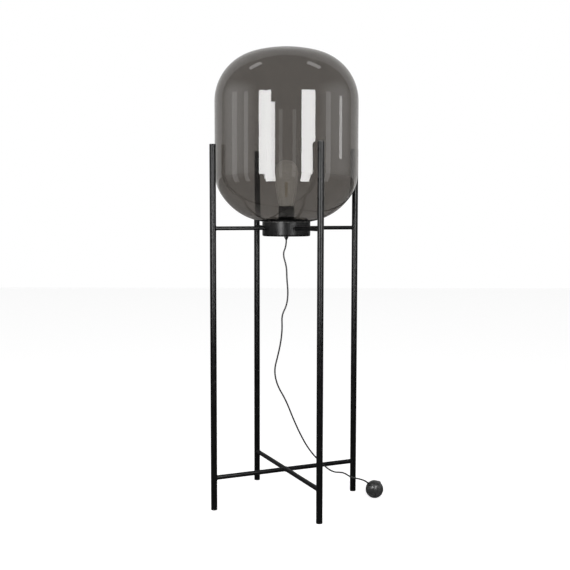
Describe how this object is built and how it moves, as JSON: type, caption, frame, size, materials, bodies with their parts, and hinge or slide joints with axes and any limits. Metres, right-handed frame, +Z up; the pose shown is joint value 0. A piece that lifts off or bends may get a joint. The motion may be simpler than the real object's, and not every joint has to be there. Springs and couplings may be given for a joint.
{
  "type": "globe floor lamp",
  "caption": "Floor lamp: a capsule-shaped smoked glass vessel on a small dish, held inside a tall square frame of slim black tube legs, with a cord and ball foot switch.",
  "frame": {"origin": "on the floor under the lamp's upright axis, centre of the square of feet", "axes": "+Z up; X and Y along the sides of the square of legs, the cord and switch lie towards +X"},
  "size_m": [0.5012, 0.48, 1.4001],
  "materials": {
    "black_frame": "satin",
    "black_plastic": "satin",
    "dark_rubber": "matte",
    "grey_silicone": "matte",
    "smoked_glass": "polished",
    "bulb_glass": "polished",
    "filament": "matte",
    "insulator": "gloss",
    "nickel": "polished",
    "brass": "satin",
    "zinc_steel": "satin",
    "black_holder": "gloss",
    "black_cord": "matte",
    "lead_sheath": "matte"
  },
  "bodies": {
    "frame": {"leg_front_right": "black_frame", "leg_rear_right": "black_frame", "leg_rear_left": "black_frame", "leg_front_left": "black_frame", "arm_front_right": "black_frame", "arm_rear_right": "black_frame", "arm_rear_left": "black_frame", "arm_front_left": "black_frame", "cross_bar": "black_frame", "half_bar_front": "black_frame", "half_bar_rear": "black_frame", "dish": "black_frame", "leg_cap_front_right": "black_plastic", "leg_cap_rear_right": "black_plastic", "leg_cap_rear_left": "black_plastic", "leg_cap_front_left": "black_plastic", "cord_gland": "black_plastic", "switch_upper_shell": "black_plastic", "switch_lower_shell": "black_plastic", "switch_bushings": "black_plastic", "plug_body": "black_plastic", "holder_insert": "black_plastic", "switch_module": "black_plastic", "foot_glide_front_right": "dark_rubber", "foot_glide_rear_right": "dark_rubber", "foot_glide_rear_left": "dark_rubber", "foot_glide_front_left": "dark_rubber", "cord_tie": "dark_rubber", "seat_ring": "grey_silicone", "plug_pins": "nickel", "screw_shell": "brass", "centre_contact": "brass", "nipple": "brass", "dish_nut": "zinc_steel", "holder_nut": "zinc_steel", "lock_washer": "zinc_steel", "terminal_screws": "zinc_steel", "switch_screws": "zinc_steel", "holder_base": "black_holder", "holder_skirt": "black_holder", "lamp_cord": "black_cord", "mains_lead": "black_cord", "cord_hank": "black_cord", "cord_end": "black_cord", "switch_tails": "black_cord", "inner_leads": "lead_sheath"},
    "shade": {"glass_shade": "smoked_glass"},
    "bulb": {"bulb_envelope": "bulb_glass", "bulb_cap": "nickel", "bulb_contact": "insulator", "bulb_stem": "bulb_glass", "bulb_filaments": "filament"},
    "button": {"switch_button": "black_plastic"}
  },
  "joints": [
    {"name": "shade_lift", "type": "slide", "parent": "frame", "child": "shade", "axis": [0, 0, 1], "range_m": [0, 0.25]},
    {"name": "bulb_unscrew", "type": "slide", "parent": "frame", "child": "bulb", "axis": [0, 0, 1], "range_m": [0, 0.04]},
    {"name": "switch_press", "type": "slide", "parent": "frame", "child": "button", "axis": [-0.3041, -0.5768, -0.7581], "range_m": [0, 0.0025], "stiffness_N_per_m": 800, "springref_m": -0.0015}
  ]
}
